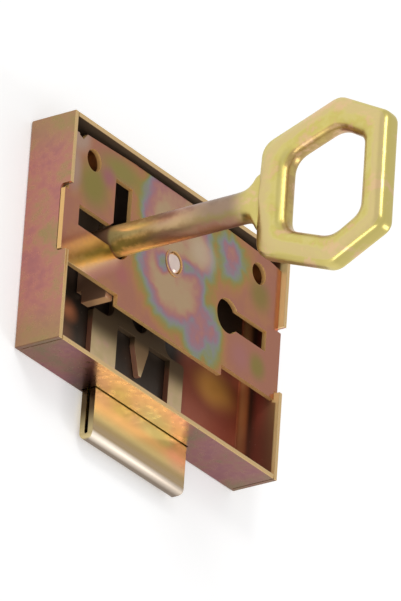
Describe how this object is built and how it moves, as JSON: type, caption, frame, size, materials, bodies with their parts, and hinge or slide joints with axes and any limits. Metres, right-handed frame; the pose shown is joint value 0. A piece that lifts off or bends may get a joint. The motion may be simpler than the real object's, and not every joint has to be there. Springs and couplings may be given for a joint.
{
  "type": "cabinet lock",
  "caption": "Cabinet lock in a folded sheet case with a recessed cover plate, keyholes for either hand, a folded sheet bolt and a key that draws it.",
  "frame": {"origin": "centre of the back plate's outer face, with the lock lying on its back", "axes": "+X along the width to the empty keyhole, +Y away from the bolt, +Z out of the cover plate along the key"},
  "size_m": [0.07, 0.0574, 0.0708],
  "materials": {
    "case": "yellow passivated zinc plate, dusty pink and gold",
    "cover": "yellow passivated zinc plate with rainbow patches",
    "bolt": "yellow passivated zinc plate, orange gold",
    "key": "yellow passivated zinc plate, pale yellow green",
    "pillar": "bright riveted end",
    "spring": "dull spring steel",
    "tube": "yellow passivated zinc plate"
  },
  "bodies": {
    "frame": {"case": "case", "cover_plate": "cover", "pillar": "pillar", "detent_spring": "spring", "screw_tube_left": "tube", "screw_tube_right": "tube"},
    "bolt": {"bolt": "bolt"},
    "key": {"key": "key"}
  },
  "joints": [
    {"name": "key_turn", "type": "hinge", "parent": "frame", "child": "key", "pos_m": [-0.0178, 0.004, 0.005], "axis": [0, 0, 1], "range_deg": [0, 180]},
    {"name": "bolt_slide", "type": "slide", "parent": "frame", "child": "bolt", "axis": [0, 1, 0], "range_m": [0, 0.01], "deforming": ["detent_spring"]}
  ],
  "couplings": [
    {"joint": "bolt_slide", "follows": "key_turn", "m_per_rad": 0.003183}
  ]
}
